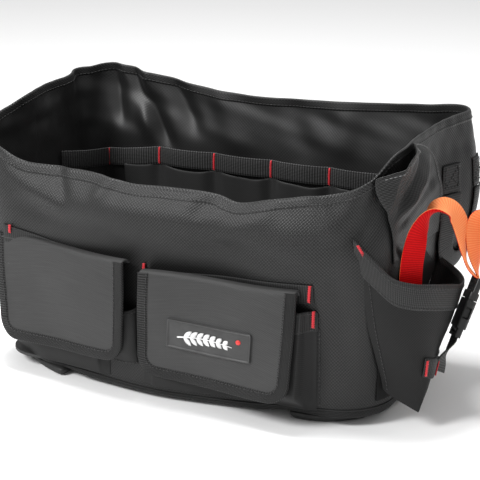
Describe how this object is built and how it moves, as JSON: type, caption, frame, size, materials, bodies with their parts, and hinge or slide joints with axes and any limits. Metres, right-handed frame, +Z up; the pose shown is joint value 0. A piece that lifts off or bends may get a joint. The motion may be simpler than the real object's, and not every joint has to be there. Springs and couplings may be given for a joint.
{
  "type": "garden tool bag",
  "caption": "Soft open-top garden tool bag with stiffened base, flapped front pockets, inner elastic tool loops and a side holster with a buckled strap.",
  "frame": {"origin": "middle of the bounding box, on the floor plane under the feet", "axes": "+X to the end with the holster, +Y to the back, +Z up"},
  "size_m": [0.5158, 0.2432, 0.27],
  "materials": {
    "coarse_polyester": "coarse ribbed black polyester, coated",
    "fine_polyester": "finer plain weave, dark grey",
    "pocket_fabric": "plain woven black polyester",
    "holster_fabric": "stiff ribbed black nylon",
    "black_webbing": "black ribbed webbing",
    "binding_tape": "grosgrain tape",
    "elastic": "ribbed black elastic",
    "touch_tape": "hook and loop",
    "red_thread": "red bar tack thread",
    "orange_webbing": "hi-vis webbing, orange outside and red inside",
    "badge_rubber": "moulded rubber patch with a raised frame",
    "foot_rubber": "matt moulded rubber",
    "rivet_steel": "blind rivets",
    "board": "extruded stiffener board",
    "buckle_plastic": "moulded acetal, fine texture"
  },
  "bodies": {
    "bag": {"back_wall": "coarse_polyester", "bartacks_front": "red_thread", "bartacks_inner": "red_thread", "base_board": "board", "base_panel": "pocket_fabric", "base_piping": "binding_tape", "buckle_female": "buckle_plastic", "buckle_web": "black_webbing", "foot_back_left": "foot_rubber", "foot_back_right": "foot_rubber", "foot_front_left": "foot_rubber", "foot_front_right": "foot_rubber", "foot_rivets": "rivet_steel", "front_band_left": "black_webbing", "front_band_right": "black_webbing", "front_wall": "coarse_polyester", "handle_anchors_left": "black_webbing", "handle_anchors_right": "black_webbing", "holster_panel": "holster_fabric", "inner_band": "elastic", "inner_pocket_panel": "pocket_fabric", "left_wall": "coarse_polyester", "pocket_left": "pocket_fabric", "pocket_loop_left": "touch_tape", "pocket_loop_right": "touch_tape", "pocket_mouth_band_left": "black_webbing", "pocket_mouth_band_right": "black_webbing", "pocket_right": "pocket_fabric", "right_wall": "coarse_polyester", "slot_pocket": "pocket_fabric", "strap_loop": "orange_webbing"},
    "flap_header_right": {"flap_header_right": "fine_polyester"},
    "flap_right": {"flap_right": "fine_polyester", "flap_binding_right": "binding_tape", "flap_hook_right": "touch_tape", "badge": "badge_rubber"},
    "flap_header_left": {"flap_header_left": "fine_polyester"},
    "flap_left": {"flap_left": "fine_polyester", "flap_binding_left": "binding_tape", "flap_hook_left": "touch_tape"},
    "buckle_male": {"buckle_male": "buckle_plastic", "strap_tail": "orange_webbing"},
    "prong_front": {"buckle_prong_front": "buckle_plastic"},
    "prong_back": {"buckle_prong_back": "buckle_plastic"},
    "handle_right": {"handle_right": "black_webbing"},
    "handle_left": {"handle_left": "black_webbing"}
  },
  "joints": [
    {"name": "flap_right_lift", "type": "hinge", "parent": "bag", "child": "flap_header_right", "pos_m": [0.01911, -0.099, 0.138], "axis": [-1, 0, 0], "range_deg": [0, 42]},
    {"name": "flap_right_fold", "type": "hinge", "parent": "flap_header_right", "child": "flap_right", "pos_m": [0.01911, -0.1182, 0.138], "axis": [-1, 0, 0], "range_deg": [0, 84]},
    {"name": "flap_left_lift", "type": "hinge", "parent": "bag", "child": "flap_header_left", "pos_m": [-0.15589, -0.099, 0.138], "axis": [-1, 0, 0], "range_deg": [0, 42]},
    {"name": "flap_left_fold", "type": "hinge", "parent": "flap_header_left", "child": "flap_left", "pos_m": [-0.15589, -0.1182, 0.138], "axis": [-1, 0, 0], "range_deg": [0, 84]},
    {"name": "buckle_slide", "type": "slide", "parent": "bag", "child": "buckle_male", "axis": [0.2287, 0.3812, 0.8958], "range_m": [0, 0.03], "deforming": ["strap_loop"]},
    {"name": "prong_front_squeeze", "type": "hinge", "parent": "buckle_male", "child": "prong_front", "pos_m": [0.23598, -0.0098, 0.11643], "axis": [-0.8545, -0.3622, 0.3723], "range_deg": [-6, 0], "stiffness_Nm_per_rad": 0.4},
    {"name": "prong_back_squeeze", "type": "hinge", "parent": "buckle_male", "child": "prong_back", "pos_m": [0.22824, 0.00432, 0.11239], "axis": [-0.8545, -0.3622, 0.3723], "range_deg": [0, 6], "stiffness_Nm_per_rad": 0.4},
    {"name": "handle_right_swing", "type": "hinge", "parent": "bag", "child": "handle_right", "pos_m": [0.18521, 0.0796, 0.196], "axis": [0, -1, 0], "range_deg": [0, 110]},
    {"name": "handle_left_swing", "type": "hinge", "parent": "bag", "child": "handle_left", "pos_m": [-0.25699, 0.0796, 0.196], "axis": [0, 1, 0], "range_deg": [0, 110]}
  ],
  "couplings": [
    {"joint": "flap_right_fold", "follows": "flap_right_lift", "ratio": 2},
    {"joint": "flap_left_fold", "follows": "flap_left_lift", "ratio": 2},
    {"joint": "prong_back_squeeze", "follows": "prong_front_squeeze", "ratio": -1}
  ]
}
